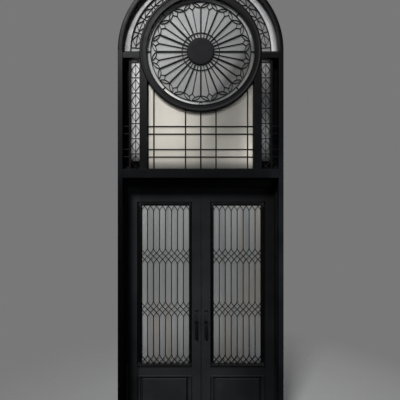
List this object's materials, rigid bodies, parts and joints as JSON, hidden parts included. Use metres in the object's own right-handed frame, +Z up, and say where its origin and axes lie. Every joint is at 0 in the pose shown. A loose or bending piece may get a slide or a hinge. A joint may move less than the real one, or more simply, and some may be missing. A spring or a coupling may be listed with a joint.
{
  "type": "arched double door with transom window",
  "caption": "Arched iron double door: two hinged glazed leaves with interlaced grilles and raised panels, under a fixed window with side lights and a round spoked rose.",
  "frame": {"origin": "underside of the threshold, at the middle of the opening and of the frame's depth", "axes": "+Z up; +Y into the building, so the outside is seen looking along +Y; +X to the right as seen from outside"},
  "size_m": [1.842, 0.33, 5.166],
  "materials": {
    "frame_paint": "satin charcoal black paint on steel",
    "leaf_paint": "satin charcoal black paint on steel",
    "grille_paint": "satin black paint on forged bar",
    "sash_paint": "matt black paint on steel",
    "hardware": "dark oiled bronze, nearly black",
    "wheel_glass": "obscured pale grey glass",
    "main_glass": "obscured pale warm grey glass",
    "border_glass": "obscured grey glass",
    "strip_glass": "dark tinted glass",
    "leaf_glass": "reeded grey glass"
  },
  "bodies": {
    "frame": {"threshold": "frame_paint", "left_jamb": "frame_paint", "right_jamb": "frame_paint", "arch_head": "frame_paint", "transom_beam": "frame_paint", "door_head": "frame_paint", "door_stops": "frame_paint", "frame_hinges": "hardware", "mullions": "frame_paint", "spring_bars": "frame_paint", "wheel_ring": "frame_paint", "wheel_hub": "grille_paint", "wheel_spokes": "grille_paint", "wheel_petals": "grille_paint", "wheel_rim": "grille_paint", "wheel_glass": "wheel_glass", "arch_divider": "grille_paint", "arch_ornament": "grille_paint", "arch_glass": "border_glass", "main_bars": "grille_paint", "main_glass": "main_glass", "side_bars": "grille_paint", "side_ornament": "grille_paint", "side_glass": "border_glass", "strip_glass": "strip_glass"},
    "left_leaf": {"left_hinge_stile": "leaf_paint", "left_meeting_stile": "leaf_paint", "left_rails": "leaf_paint", "left_panel": "leaf_paint", "left_moulding": "leaf_paint", "left_sash": "sash_paint", "left_glass": "leaf_glass", "left_grille": "grille_paint", "left_handle": "hardware", "left_hinges": "hardware"},
    "right_leaf": {"right_hinge_stile": "leaf_paint", "right_meeting_stile": "leaf_paint", "right_rails": "leaf_paint", "right_panel": "leaf_paint", "right_moulding": "leaf_paint", "right_sash": "sash_paint", "right_glass": "leaf_glass", "right_grille": "grille_paint", "right_handle": "hardware", "right_hinges": "hardware"}
  },
  "joints": [
    {"name": "left_leaf_swing", "type": "hinge", "parent": "frame", "child": "left_leaf", "pos_m": [-0.866, 0.154, 0], "axis": [0, 0, 1], "range_deg": [0, 100]},
    {"name": "right_leaf_swing", "type": "hinge", "parent": "frame", "child": "right_leaf", "pos_m": [0.866, 0.154, 0], "axis": [0, 0, -1], "range_deg": [0, 100]}
  ]
}
